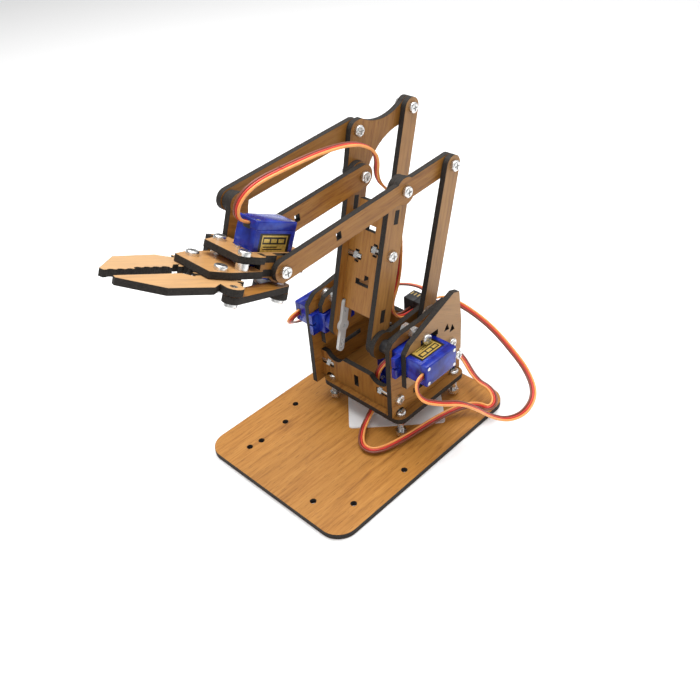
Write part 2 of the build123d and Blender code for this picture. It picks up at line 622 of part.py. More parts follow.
# ---------------------------------------------------------------- hand
# Drawn level and centred on the wrist: x forward (f), y across, z up (u).
HAND = Pos(WRIST[0], 0, WRIST[1]) * Rot(0, -HAND_PITCH, 0)
UPPER_PALM_U = 3.0
LOWER_PALM_U = -3.0
CLAW_SERVO_F = 1.15
CLAW_AXIS_F = CLAW_SERVO_F - SERVO_AXIS
CLAW_BACK_U = UPPER_PALM_U + SERVO_EAR_LOW
FINGER_U = -6.3
LINK_U = -9.6
PIVOT_Y = 9.0
PALM_SPACER = (20.0, 8.0)
BRACKET_RIGHT = LAYER_ELBOW_COLUMN
BRACKET_LEFT = LAYER_SHOULDER_COLUMN
U_PIN_F = LEVEL_SHORT * cos(radians(LEVEL_SHORT_ANGLE - HAND_PITCH))
U_PIN_U = LEVEL_SHORT * sin(radians(LEVEL_SHORT_ANGLE - HAND_PITCH))
CRANK_PIN = (1.0, CLAW_CRANK)
JAW_GAP = 3.0                   # centre plane to each jaw's edge at rest
JAW_WAVE = 4.1                  # pitch of the waves along the idle jaw


def palm(front, front_half, low_u, bolts):
    """A palm board: narrow at the rear between the brackets, wider and tapered in front."""
    rear_low, rear_high = -13.4, BRACKET_RIGHT[0]
    outline = Polygon(
        (-17.5, rear_low), (8.2, rear_low), (8.2, -16), (front - 8, -16), (front, HAND_Y - front_half),
        (front, HAND_Y + front_half), (front - 9, 11.5), (11.3, 11.5), (11.3, rear_high), (-17.5, rear_high),
        align=None,
    )
    outline += Pos(6.0, (BRACKET_RIGHT[0] + BRACKET_RIGHT[1]) / 2) * Rectangle(6, BOARD)
    outline += Pos(12.5, (BRACKET_LEFT[0] - 16) / 2) * Rectangle(5, -BRACKET_LEFT[0] - 16)
    outline -= Pos(CLAW_SERVO_F, HAND_Y) * Rectangle(SERVO_LONG + 0.5, SERVO_WIDE + 0.5)
    for point, radius in bolts:
        outline -= Pos(*point) * Circle(radius)
    return extrude(Plane.XY.offset(low_u) * outline, amount=BOARD)


EAR_SCREWS = [(CLAW_SERVO_F + side * SERVO_EAR_HOLE, HAND_Y) for side in (-1, 1)]
PALM_BOLTS = [PALM_SPACER, (16.0, -12.5)]
FINGER_PIVOTS = [(FINGER_PIVOT_F, HAND_Y + PIVOT_Y), (FINGER_PIVOT_F, HAND_Y - PIVOT_Y)]


def bracket(outline, layer, open_f):
    for low_u in (UPPER_PALM_U, LOWER_PALM_U):
        outline -= Pos(open_f[0], low_u + BOARD / 2) * Rectangle(open_f[1], BOARD)
    return board_xz(outline, layer)


def bracket_right():
    outline = Circle(6.0) + Pos(5.5, 1.2) * Rectangle(11, 9.6)
    outline -= Circle(BOLT_R)
    return bracket(outline, BRACKET_RIGHT, (6.0, 6.0))


def bracket_left():
    pin = (U_PIN_F, U_PIN_U)
    outline = Circle(6.0) + Pos(8.5, 1.2) * Rectangle(17, 9.6)
    outline += Polygon((-6, 0), (8, 5), (pin[0] + 4.6, pin[1]), (pin[0] - 4.8, pin[1]), align=None)
    outline += Pos(*pin) * Circle(5.0)
    outline -= Circle(HOLE_R)
    outline -= Pos(*pin) * Circle(BOLT_R)
    return bracket(outline, BRACKET_LEFT, (12.5, 5.0))


def gear(phase_deg):
    """Outline of the toothed root of a finger, with one tooth at phase_deg."""
    module = 2 * GEAR_PITCH_R / TEETH
    root = GEAR_PITCH_R - 1.15 * module
    tip = GEAR_PITCH_R + 0.8 * module
    quarter = 360 / TEETH / 4
    outline = Circle(root)
    for number in range(TEETH):
        angle = phase_deg + 360 / TEETH * number
        points = []
        for radius, share in ((root - 0.3, 1.45), (GEAR_PITCH_R, 0.88), (tip, 0.34)):
            points.append((radius, quarter * share))
        ring = [(r, -a) for r, a in points] + [(r, a) for r, a in reversed(points)]
        tooth = [(r * cos(radians(angle + a)), r * sin(radians(angle + a))) for r, a in ring]
        outline += Polygon(*tooth, align=None)
    return outline


def finger(side):
    """A finger drawn about its pivot at (0, 0); side 1 is the driven one."""
    step = 360 / TEETH
    outline = gear(-90 if side == 1 else -90 + step / 2)
    jaw = [
        (4, -2), (10, -2), (13.5, JAW_GAP - PIVOT_Y), (43.5, JAW_GAP - PIVOT_Y), (44, -3.8), (30.5, 9),
        (10, 10.5), (4, 6.5),
    ]
    outline += Polygon(*jaw, align=None)
    edge = JAW_GAP - PIVOT_Y
    if side == -1:
        outline -= Pos(21.0, edge + 0.6) * Rectangle(14.0, 1.6)
        for number in range(7):
            recess = 1.4 if number < 4 else 0.0
            outline -= Pos(15.8 + JAW_WAVE * number, edge + recess - 1.3) * Circle(0.5 * JAW_WAVE)
    if side == 1:
        outline += link_outline((0, 0), CRANK_PIN, 4.2)
        outline -= Pos(*CRANK_PIN) * Circle(BOLT_R)
    outline -= Circle(HOLE_R)
    if side == -1:
        outline = mirror(outline, Plane.XZ)
    place = Pos(FINGER_PIVOT_F, HAND_Y + side * PIVOT_Y, FINGER_U)
    return place * extrude(outline, amount=BOARD)


def place_hand(name, *shapes):
    if len(shapes) == 1:
        save(name, HAND * shapes[0])
    else:
        save(name, group(*[HAND * shape for shape in shapes]))


def build_hand():
    upper_holes = [(point, 0.9) for point in EAR_SCREWS] + [(point, BOLT_R) for point in PALM_BOLTS]
    place_hand("palm_upper_board", palm(23.5, 11.0, UPPER_PALM_U, upper_holes))
    lower_holes = [(point, 0.9) for point in EAR_SCREWS] + [(point, HOLE_R) for point in PALM_BOLTS]
    lower_holes += [(pivot, BOLT_R) for pivot in FINGER_PIVOTS]
    place_hand("palm_lower_board", palm(37.0, 11.0, LOWER_PALM_U, lower_holes))
    save("hand_bracket_right", HAND * bracket_right())
    save("hand_bracket_left", HAND * bracket_left())
    down = Rot(180, 0, 0)
    sleeve = extrude(Circle(2.8) - Circle(BOLT_R), amount=UPPER_PALM_U - LOWER_PALM_U - BOARD)
    top = UPPER_PALM_U + BOARD
    fasteners = [Pos(x, y, top) * down * bolt(top - LOWER_PALM_U) for x, y in PALM_BOLTS]
    fasteners += [Pos(x, y, 0) * sleeve for x, y in PALM_BOLTS]
    fasteners += [Pos(x, y, top) * down * horn_screw(8.0) for x, y in EAR_SCREWS]
    place_hand("palm_fasteners", *fasteners)
    pivots = [Pos(x, y, 0) * down * bolt(8.9) for x, y in FINGER_PIVOTS]
    pivots += [Pos(x, y, FINGER_U - 0.2 - NUT_H) * nut() for x, y in FINGER_PIVOTS]
    place_hand("finger_pivots", *pivots)
    servo_place = Pos(CLAW_SERVO_F, HAND_Y, CLAW_BACK_U) * Rot(180, 0, 0) * Rot(0, 0, 180)
    save("claw_servo", HAND * servo_place * servo_case())
    save("hand_pins", group(
        cross_bolt(WRIST, LAYER_FOREARM[1] + 0.2, LAYER_ELBOW_COLUMN[0]),
        cross_bolt(HAND_TOP, LAYER_TOP_LINK[0] - 0.2, LAYER_SHOULDER_COLUMN[1]),
    ))
    spacer = Circle(4.5) - Circle(BOLT_R)
    width = LAYER_SHOULDER_COLUMN[0] - LAYER_TRIANGLE[0]
    save("hand_top_spacer", along_y(HAND_TOP, LAYER_TRIANGLE[0], 1) * extrude(spacer, amount=width))

    place_hand("finger_driven", finger(1))
    place_hand("finger_idle", finger(-1))
    pin_at = (FINGER_PIVOT_F + CRANK_PIN[0], HAND_Y + PIVOT_Y + CRANK_PIN[1])
    place_hand("finger_link_screw", Pos(*pin_at, LINK_U - 0.2) * bolt(FINGER_U + BOARD - LINK_U + 0.2))
    crank_at = (CLAW_AXIS_F + CRANK_PIN[0], HAND_Y + CRANK_PIN[1])
    link = link_outline(crank_at, pin_at, 3.8)
    link -= Pos(*pin_at) * Circle(HOLE_R) + Pos(*crank_at) * Circle(BOLT_R)
    place_hand("claw_link", extrude(Plane.XY.offset(LINK_U) * link, amount=BOARD))
    place_hand("claw_crank_screw", Pos(*crank_at, LINK_U - 0.3 - BOARD - 0.2) * bolt(BOARD + 0.5 + BOARD))
    arm = link_outline((0, 0), CRANK_PIN, 4.0) + Circle(5.0)
    arm -= Circle(HUB_R) + Pos(*CRANK_PIN) * Circle(HOLE_R)
    arm_u = LINK_U - 0.3 - BOARD
    place_hand("claw_crank", Pos(CLAW_AXIS_F, HAND_Y, arm_u) * extrude(arm, amount=BOARD))
    hub_low = arm_u
    claw_hub = extrude(Circle(HUB_R), amount=-7.4 - hub_low)
    tip_u = CLAW_BACK_U - SERVO_SHAFT_TOP
    claw_hub -= extrude(Plane.XY.offset(tip_u - hub_low) * Circle(SERVO_SHAFT_R), amount=6)
    claw_hub -= extrude(Circle(1.0), amount=6)
    place_hand("claw_horn", Pos(CLAW_AXIS_F, HAND_Y, hub_low) * claw_hub)
    save("claw_servo_shaft", HAND * servo_place * servo_shaft())


# ---------------------------------------------------------------- leads
PLUG_LOW = (-31.5, -11.0, 40.0)
PLUG_HIGH = (-22.5, 11.0, 53.0)

CLAW_LEAD = [
    (80.56, -2.0, 147.72), (85.5, -2.0, 150.02), (85.0, -1.5, 157.5), (77.0, 0.4, 163.6),
    (60.0, 1.6, 164.6), (39.0, 2.6, 164.6), (20.0, 3.4, 161.5), (8.0, 3.8, 152.5), (8.5, 1.8, 139.0),
    (-3.5, 0.4, 127.0), (-11.0, -2.0, 109.0), (-13.0, -3.4, 90.0), (-11.5, -4.2, 72.0), (-4.0, -4.4, 59.0),
    (-10.0, -4.0, 47.5), (-22.5, -4.0, 47.5),
]


def tube(points, radius):
    """A cord's tube: straight runs joined by arcs as large as the runs allow."""
    vectors = [Vector(*p) for p in points]
    radii = []
    for a, b, c in zip(vectors, vectors[1:], vectors[2:]):
        turn = radians((b - a).get_angle(c - b))
        shorter = min((b - a).length, (c - b).length)
        radii.append(0.45 * shorter / tan(turn / 2))
    path = FilletPolyline(*points, radius=radii)
    start = vectors[0]
    section = Plane(origin=start, z_dir=vectors[1] - vectors[0]) * Circle(radius)
    solid = sweep(section, path=path)
    return solid, radii, path.length


def build_leads():
    save("lead_plugs", box_between(PLUG_LOW, PLUG_HIGH))
    for name, points in LEADS.items():
        solid, radii, length = tube(points, LEAD_R)
        ratio = solid.volume / (pi * LEAD_R ** 2 * length)
        print(name, "bend radii", [round(r, 1) for r in radii])
        print(name, "length", round(length, 1), "volume against length", round(ratio, 4))
        save(name, solid)


YAW_LEAD = [
    (6.1, 3.0, 33.5), (14.5, 3.0, 33.5), (17.0, 3.0, 24.0), (15.3, 3.2, 13.5), (26.9, 5.0, 7.5),
    (37.3, 9.5, 6.0), (44.3, 16.7, 5.5), (42.3, 24.8, 5.5), (27.4, 29.6, 6.0), (1.6, 34.2, 7.5),
    (-10.9, 39.3, 9.0), (-16.7, 45.6, 10.0), (-16.8, 52.8, 10.5), (-23.9, 52.1, 11.0), (-29.5, 44.7, 12.5),
    (-27.8, 35.8, 14.5), (-37.5, 18.0, 18.5), (-34.5, 9.5, 23.0), (-29.3, 8.0, 30.0), (-29.3, 8.0, 40.0),
]
ELBOW_LEAD = [
    (25.6, 43.0, 55.0), (31.5, 43.0, 55.0), (33.5, 47.5, 47.5), (24.5, 53.5, 42.5), (14.0, 56.5, 38.0),
    (5.0, 60.0, 30.0), (-4.0, 63.0, 20.0), (-14.0, 67.0, 13.0), (-27.0, 69.0, 10.5), (-40.0, 66.0, 13.0),
    (-47.0, 56.0, 19.0), (-49.0, 43.0, 27.0), (-49.5, 30.0, 35.0), (-48.0, 18.0, 41.0), (-44.5, 8.0, 46.0),
    (-38.5, 3.0, 49.5), (-31.5, 3.0, 49.5),
]
SHOULDER_LEAD = [
    (25.6, -43.4, 55.0), (29.6, -43.4, 55.0), (31.0, -46.5, 50.0), (25.0, -50.5, 44.0), (12.0, -51.5, 40.0),
    (0.0, -50.0, 38.5), (-16.0, -47.0, 39.5), (-31.0, -40.0, 43.0), (-41.0, -27.0, 46.0),
    (-44.0, -15.0, 46.5), (-40.0, -7.5, 46.5), (-31.5, -7.5, 46.5),
]
LEADS = {
    "claw_lead": CLAW_LEAD,
    "yaw_lead": YAW_LEAD,
    "elbow_lead": ELBOW_LEAD,
    "shoulder_lead": SHOULDER_LEAD,
}

build_base()
build_turret()
build_upper_arm()
build_links()
build_forearm()
build_hand()
build_leads()
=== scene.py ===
"""Looks of the laser-cut robot arm: materials, servos, leads, labels, camera and light."""

import json
import math

import bmesh
import bpy
from mathutils import Matrix, Vector


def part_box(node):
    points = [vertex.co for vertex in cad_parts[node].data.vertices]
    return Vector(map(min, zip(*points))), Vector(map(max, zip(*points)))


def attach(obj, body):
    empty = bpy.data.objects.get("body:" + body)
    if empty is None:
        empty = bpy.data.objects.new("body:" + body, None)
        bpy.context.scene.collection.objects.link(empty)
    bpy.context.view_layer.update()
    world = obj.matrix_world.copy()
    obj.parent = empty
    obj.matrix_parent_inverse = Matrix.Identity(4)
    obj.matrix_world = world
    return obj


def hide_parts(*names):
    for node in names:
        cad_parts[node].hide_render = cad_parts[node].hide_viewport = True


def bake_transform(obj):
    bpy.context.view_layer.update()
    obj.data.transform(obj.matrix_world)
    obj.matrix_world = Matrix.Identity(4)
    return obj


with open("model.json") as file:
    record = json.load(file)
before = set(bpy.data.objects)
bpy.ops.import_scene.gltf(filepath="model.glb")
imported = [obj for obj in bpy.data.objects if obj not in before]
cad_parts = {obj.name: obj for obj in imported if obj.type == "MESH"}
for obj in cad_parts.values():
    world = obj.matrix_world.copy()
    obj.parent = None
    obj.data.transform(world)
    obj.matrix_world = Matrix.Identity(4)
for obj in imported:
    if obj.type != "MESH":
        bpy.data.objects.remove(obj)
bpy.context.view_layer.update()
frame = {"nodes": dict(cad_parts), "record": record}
MM = 0.001
NODES = frame["nodes"]
JOINTS = {joint["name"]: joint for joint in frame["record"]["behaviour"]["joints"]}

Y_AXIS = (0, 1, 0)
HAND_UP = Vector(JOINTS["claw"]["axis"]).normalized()
HAND_FORWARD = Vector((HAND_UP.z, 0, -HAND_UP.x))
WRIST = Vector(JOINTS["hand_level"]["pos_m"])
SHOULDER = Vector(JOINTS["shoulder"]["pos_m"])
ELBOW = Vector(JOINTS["elbow"]["pos_m"])
CLAW_BACK_UP = 18.9 * MM        # back of the claw servo above the wrist, along the palm's normal

# Colours of the board's face, then of what the laser burnt.
WOOD_LIGHT = (0.56, 0.26, 0.055)
WOOD_MIDDLE = (0.42, 0.175, 0.030)
WOOD_DARK = (0.20, 0.068, 0.010)
WOOD_BAND = (0.45, 0.20, 0.038)
WOOD_PORE = (0.095, 0.032, 0.008)
# Painted sheen: pale tan mixed into boards that face the lamp, standing in for glare on their lacquer.
WOOD_PAINTED_SHEEN = (0.60, 0.43, 0.25)
BURNT_RIM = (0.045, 0.022, 0.012)
BURNT_DARK = (0.006, 0.005, 0.004)
BURNT_LIGHT = (0.030, 0.024, 0.019)
BURNT_RIM_WIDTH = 0.45 * MM

# Colours of the servo cases and their labels.
BLUE_DEEP = (0.004, 0.008, 0.16)
BLUE_MIDDLE = (0.008, 0.024, 0.30)
BLUE_LIGHT = (0.02, 0.07, 0.50)
FOIL_BLACK = (0.012, 0.011, 0.010)
FOIL_PANEL = (0.020, 0.017, 0.013)
FOIL_BAR = (0.03, 0.02, 0.012)
GOLD_DARK = (0.42, 0.27, 0.05)
GOLD_LIGHT = (0.72, 0.52, 0.13)


# ---------------------------------------------------------------- node trees
class Tree:
    """Short names for building one material's nodes."""

    def __init__(self, name):
        self.material = bpy.data.materials.new(name)
        self.material.use_nodes = True
        self.nodes = self.material.node_tree.nodes
        self.links = self.material.node_tree.links
        self.shader = self.nodes["Principled BSDF"]

    def add(self, kind, **settings):
        node = self.nodes.new(kind)
        for key, value in settings.items():
            setattr(node, key, value)
        return node

    def put(self, socket, value):
        if hasattr(value, "is_output"):
            self.links.new(value, socket)
        else:
            socket.default_value = value

    def math(self, operation, *values):
        node = self.add("ShaderNodeMath", operation=operation)
        for socket, value in zip(node.inputs, values):
            self.put(socket, value)
        return node.outputs[0]

    def dot(self, vector, axis):
        node = self.add("ShaderNodeVectorMath", operation="DOT_PRODUCT")
        self.put(node.inputs[0], vector)
        node.inputs[1].default_value = axis
        return node.outputs["Value"]

    def place(self, vector, rotation=(0, 0, 0), scale=(1, 1, 1)):
        node = self.add("ShaderNodeMapping")
        self.put(node.inputs["Vector"], vector)
        node.inputs["Rotation"].default_value = rotation
        node.inputs["Scale"].default_value = scale
        return node.outputs[0]

    def noise(self, vector, scale, detail=4.0, rough=0.55, distortion=0.0):
        node = self.add("ShaderNodeTexNoise")
        self.put(node.inputs["Vector"], vector)
        settings = {"Scale": scale, "Detail": detail, "Roughness": rough, "Distortion": distortion}
        for name, value in settings.items():
            node.inputs[name].default_value = value
        return node.outputs["Fac"]

    def ramp(self, factor, stops):
        node = self.add("ShaderNodeValToRGB")
        self.put(node.inputs["Fac"], factor)
        elements = node.color_ramp.elements
        while len(elements) < len(stops):
            elements.new(0.5)
        for element, (position, colour) in zip(elements, stops):
            element.position = position
            element.color = (*colour, 1)
        return node.outputs["Color"]

    def mix(self, factor, a, b, blend="MIX"):
        node = self.add("ShaderNodeMix", data_type="RGBA", blend_type=blend)
        self.put(node.inputs["Factor"], factor)
        for socket, value in ((node.inputs[6], a), (node.inputs[7], b)):
            self.put(socket, (*value, 1) if isinstance(value, tuple) and len(value) == 3 else value)
        return node.outputs[2]

    def range(self, value, low, high, out_low=0.0, out_high=1.0):
        """Stretch a value from low..high to out_low..out_high."""
        node = self.add("ShaderNodeMapRange")
        for socket, item in zip(node.inputs, (value, low, high, out_low, out_high)):
            self.put(socket, item)
        return node.outputs[0]

    def bump(self, height, strength, distance, normal=None):
        """Raise the shader's surface by a height map, on top of another normal if one is given."""
        node = self.add("ShaderNodeBump")
        node.inputs["Strength"].default_value = strength
        node.inputs["Distance"].default_value = distance
        self.put(node.inputs["Height"], height)
        if normal is not None:
            self.put(node.inputs["Normal"], normal)
        self.put(self.shader.inputs["Normal"], node.outputs[0])

    def set(self, **values):
        for name, value in values.items():
            self.put(self.shader.inputs[name.replace("_", " ")], value)


def toned(colour, tone):
    """A colour made darker or lighter."""
    return tuple(channel * tone for channel in colour)


def dress(node, material):
    """Give a CAD node one material."""
    NODES[node].data.materials.clear()
    NODES[node].data.materials.append(material)


# ---------------------------------------------------------------- materials
def board_material(name, across, grain_angle, seed, tone, sheen_share):
    """Brown-faced board: across is its thickness axis, and grain_angle turns the grain about Y.

    tone darkens or lightens the whole face; the turret's walls and floor get painted shade through it, and
    the hand's boards painted highlight. The last argument is the share of pale tan mixed in as painted
    sheen, standing in for glare on the lacquer.
    """
    tree = Tree(name)
    coords = tree.add("ShaderNodeTexCoord")
    face = tree.math("ABSOLUTE", tree.dot(coords.outputs["Normal"], across))
    face = tree.range(face, 0.6, 0.9)
    along = tree.place(coords.outputs["Object"], (0, grain_angle, 0))
    shift = tree.add("ShaderNodeVectorMath", operation="ADD")
    tree.put(shift.inputs[0], along)
    shift.inputs[1].default_value = (seed * 0.37, seed * 0.71, seed * 0.53)
    along = shift.outputs[0]
    streaks = tree.noise(tree.place(along, scale=(45, 620, 620)), 1.0, 7, 0.62, 0.25)
    bands = tree.noise(tree.place(along, scale=(9, 90, 90)), 1.0, 3, 0.5, 0.9)
    pores = tree.noise(tree.place(along, scale=(190, 2600, 2600)), 1.0, 2, 0.5)
    grain = ((0.28, WOOD_DARK), (0.46, WOOD_MIDDLE), (0.72, WOOD_LIGHT))
    wood = tree.ramp(streaks, [(place, toned(colour, tone)) for place, colour in grain])
    wood = tree.mix(tree.range(bands, 0.35, 0.7, 0.0, 0.55), wood, toned(WOOD_BAND, tone))
    wood = tree.mix(tree.range(pores, 0.60, 0.72, 0.0, 0.55), wood, WOOD_PORE)
    # Painted sheen: pale tan mixed in where glare on the lacquer would be.
    wood = tree.mix(sheen_share, wood, WOOD_PAINTED_SHEEN)
    layers = tree.noise(tree.place(coords.outputs["Object"], scale=(1500, 1500, 1500)), 1.0, 3, 0.6)
    burnt = tree.ramp(layers, [(0.3, BURNT_DARK), (0.7, BURNT_LIGHT)])
    bevel = tree.add("ShaderNodeBevel", samples=4)
    bevel.inputs["Radius"].default_value = BURNT_RIM_WIDTH
    geometry = tree.add("ShaderNodeNewGeometry")
    sameness = tree.add("ShaderNodeVectorMath", operation="DOT_PRODUCT")
    tree.put(sameness.inputs[0], bevel.outputs[0])
    tree.put(sameness.inputs[1], geometry.outputs["True Normal"])
    rim = tree.range(sameness.outputs["Value"], 0.80, 0.995)
    wood = tree.mix(rim, BURNT_RIM, wood)
    tree.set(Base_Color=tree.mix(face, burnt, wood))
    tree.set(Roughness=tree.range(face, 0, 1, 0.78, 0.42), Specular_IOR_Level=0.32)
    tree.shader.inputs["Coat Weight"].default_value = 0.06
    tree.shader.inputs["Coat Roughness"].default_value = 0.28
    height = tree.mix(face, layers, streaks)
    tree.bump(height, 0.25, 0.08 * MM, bevel.outputs[0])
    return tree.material


def steel_material(name, colour=(0.80, 0.80, 0.79), rough=0.24):
    """Plated metal with fine scratches and cloudy blotches."""
    tree = Tree(name)
    coords = tree.add("ShaderNodeTexCoord")
    scratch = tree.noise(coords.outputs["Object"], 2200, 4, 0.6)
    blotch = tree.noise(coords.outputs["Object"], 420, 3, 0.5)
    tree.set(Base_Color=tree.ramp(blotch, [(0.3, toned(colour, 0.78)), (0.75, colour)]))
    tree.set(Metallic=1.0, Roughness=tree.range(scratch, 0.2, 0.8, rough - 0.07, rough + 0.12))
    tree.bump(scratch, 0.12, 0.03 * MM)
    return tree.material


def sheet_material():
    """Pale brushed sheet, its brush lines along one side of the turned square."""
    tree = Tree("glide_sheet_metal")
    coords = tree.add("ShaderNodeTexCoord")
    along = tree.place(coords.outputs["Object"], (0, 0, math.radians(45)), (60, 3000, 3000))
    brushed = tree.noise(along, 1.0, 3, 0.6)
    cloud = tree.noise(coords.outputs["Object"], 60, 3, 0.5)
    tree.set(Base_Color=tree.ramp(cloud, [(0.3, (0.78, 0.79, 0.80)), (0.7, (0.92, 0.93, 0.94))]))
    tree.set(Metallic=0.25, Roughness=tree.range(brushed, 0.2, 0.8, 0.30, 0.48))
    tree.bump(brushed, 0.10, 0.02 * MM)
    return tree.material


def blue_case_material():
    """Clear blue moulding with a darker inside showing through."""
    tree = Tree("servo_blue_case")
    coords = tree.add("ShaderNodeTexCoord")
    inside = tree.noise(coords.outputs["Object"], 160, 2, 0.5)
    colour = tree.ramp(inside, [(0.35, BLUE_DEEP), (0.55, BLUE_MIDDLE), (0.8, BLUE_LIGHT)])
    fine = tree.noise(coords.outputs["Object"], 3000, 2, 0.5)
    tree.set(Base_Color=colour, Roughness=tree.range(fine, 0.2, 0.8, 0.16, 0.28))
    tree.shader.inputs["Transmission Weight"].default_value = 0.10
    tree.shader.inputs["IOR"].default_value = 1.52
    tree.shader.inputs["Specular IOR Level"].default_value = 0.35
    tree.bump(tree.noise(coords.outputs["Object"], 700, 2, 0.5), 0.06, 0.05 * MM)
    return tree.material


def plastic_material(name, colour, rough=0.4, coat=0.0):
    """Moulded plastic or wire insulation with a fine grain."""
    tree = Tree(name)
    coords = tree.add("ShaderNodeTexCoord")
    grain = tree.noise(coords.outputs["Object"], 2600, 3, 0.6)
    patch = tree.noise(coords.outputs["Object"], 220, 3, 0.5)
    tree.set(Base_Color=tree.ramp(patch, [(0.3, toned(colour, 0.82)), (0.75, colour)]))
    tree.set(Roughness=tree.range(grain, 0.2, 0.8, rough - 0.06, rough + 0.1))
    tree.shader.inputs["Coat Weight"].default_value = coat
    tree.bump(grain, 0.10, 0.03 * MM)
    return tree.material


def label_material(name, long_axis, short_axis, centre):
    """Foil label: black frame, gold panel and plain bars with no lettering."""
    tree = Tree(name)
    coords = tree.add("ShaderNodeTexCoord")
    offset = tree.add("ShaderNodeVectorMath", operation="SUBTRACT")
    tree.put(offset.inputs[0], coords.outputs["Object"])
    offset.inputs[1].default_value = centre
    x = tree.dot(offset.outputs[0], long_axis)
    y = tree.dot(offset.outputs[0], short_axis)

    def inside(low_x, high_x, low_y, high_y):
        """1 within a rectangle given in millimetres, 0 outside it."""
        parts = [
            tree.math("GREATER_THAN", x, low_x * MM), tree.math("LESS_THAN", x, high_x * MM),
            tree.math("GREATER_THAN", y, low_y * MM), tree.math("LESS_THAN", y, high_y * MM),
        ]
        result = parts[0]
        for part in parts[1:]:
            result = tree.math("MULTIPLY", result, part)
        return result

    foil = tree.noise(coords.outputs["Object"], 900, 3, 0.6)
    gold = tree.ramp(foil, [(0.3, GOLD_DARK), (0.7, GOLD_LIGHT)])
    colour = tree.mix(inside(-7.2, 7.2, -3.6, 3.6), FOIL_BLACK, gold)
    colour = tree.mix(inside(-6.6, 6.6, -0.2, 2.9), colour, FOIL_PANEL)
    for step in range(3):
        start = -6.0 + 4.1 * step
        colour = tree.mix(inside(start, start + 3.2, 0.5, 2.1), colour, gold)
    for end, low in ((5.0, -2.6), (2.0, -1.6)):
        colour = tree.mix(inside(-6.0, end, low, low + 0.5), colour, FOIL_BAR)
    tree.set(Base_Color=colour, Metallic=0.35, Roughness=0.28)
    tree.bump(foil, 0.08, 0.03 * MM)
    return tree.material


STEEL = steel_material("bright_zinc")
# Painted shade: darker steel standing in for the shade inside a screw's driver slot.
SLOT_SHADE_STEEL = steel_material("screw_slot_painted_shade_steel", (0.34, 0.34, 0.34), 0.4)
BLUE = blue_case_material()
WHITE_PLASTIC = plastic_material("horn_white_plastic", (0.62, 0.63, 0.62), 0.38, 0.1)
BLACK_PLASTIC = plastic_material("plug_black_plastic", (0.018, 0.018, 0.020), 0.42)
BRASS = steel_material("contact_brass", (0.80, 0.58, 0.24), 0.3)
WIRES = {
    "brown": plastic_material("wire_brown", (0.20, 0.045, 0.02), 0.38, 0.15),
    "red": plastic_material("wire_red", (0.62, 0.035, 0.02), 0.36, 0.15),
    "orange": plastic_material("wire_orange", (0.90, 0.36, 0.09), 0.36, 0.15),
}


# ---------------------------------------------------------------- boards
# Boards whose face is lighter or darker than the rest: the turret's walls and floor are darker as painted
# shade, and the hand's boards lighter as painted highlight.
TONES_AND_PAINTED_LIGHT = {
    "base_plate": 0.95, "finger_driven": 1.0, "finger_idle": 1.0,
    "palm_upper_board": 0.9, "palm_lower_board": 0.9,
    "front_plate": 0.56, "turret_floor": 0.60, "back_plate": 0.60, "crank_plate": 0.30,
}
TONE_LOW = 0.66
TONE_SPREAD = 0.10
# Boards with painted sheen: the share of pale tan mixed into their face, standing in for glare on the
# lacquer.
PAINTED_SHEEN_SHARE = {
    "finger_driven": 0.40, "finger_idle": 0.50,
    "palm_upper_board": 0.25, "palm_lower_board": 0.22, "elbow_servo_plate": 0.22,
    "drive_link": 0.15, "level_link": 0.15, "elbow_column": 0.08,
}


def angle_of(start, end):
    """Turn about Y that brings a line in the XZ plane onto X."""
    line = Vector(end) - Vector(start)
    return math.atan2(line.z, line.x)


def dress_boards():
    """Give every board its own wood, with the grain along its length."""
    column = angle_of(SHOULDER, ELBOW)
    forearm = angle_of(ELBOW, WRIST)
    hand = math.atan2(HAND_FORWARD.z, HAND_FORWARD.x)
    upright = math.radians(90)
    plan = [
        ("base_plate", (0, 0, 1), 0.0), ("turret_floor", (0, 0, 1), 0.0),
        ("front_plate", (1, 0, 0), upright), ("back_plate", (1, 0, 0), upright),
        ("elbow_side_inner_plate", Y_AXIS, 0.3), ("elbow_servo_plate", Y_AXIS, 0.5),
        ("shoulder_side_inner_plate", Y_AXIS, 0.1), ("shoulder_servo_plate", Y_AXIS, 0.2),
        ("shoulder_column", Y_AXIS, column), ("elbow_column", Y_AXIS, column),
        ("drive_link", Y_AXIS, column), ("level_link", Y_AXIS, column),
        ("crank_plate", Y_AXIS, forearm), ("forearm_beam", Y_AXIS, forearm),
        ("forearm_lever", Y_AXIS, forearm), ("top_link", Y_AXIS, forearm),
        ("elbow_triangle", Y_AXIS, column), ("hand_top_spacer", Y_AXIS, 0.0),
        ("hand_bracket_right", Y_AXIS, hand), ("hand_bracket_left", Y_AXIS, hand),
        ("palm_upper_board", tuple(HAND_UP), hand), ("palm_lower_board", tuple(HAND_UP), hand),
        ("finger_driven", tuple(HAND_UP), hand), ("finger_idle", tuple(HAND_UP), hand),
        ("claw_link", tuple(HAND_UP), hand), ("claw_crank", tuple(HAND_UP), hand),
    ]
    across_column = (math.sin(column), 0, -math.cos(column))
    plan.append(("column_cross_plate", across_column, column))
    for seed, (node, across, angle) in enumerate(plan):
        # Listed tones paint shade on the turret's walls and floor and a highlight on the hand, and the
        # other tones vary at random. The sheen share paints glare as pale tan.
        tone = TONES_AND_PAINTED_LIGHT.get(node, TONE_LOW + TONE_SPREAD * ((seed * 7) % 5) / 4)
        wood = board_material("board_" + node, across, angle, seed + 1, tone, PAINTED_SHEEN_SHARE.get(node, 0.0))
        dress(node, wood)


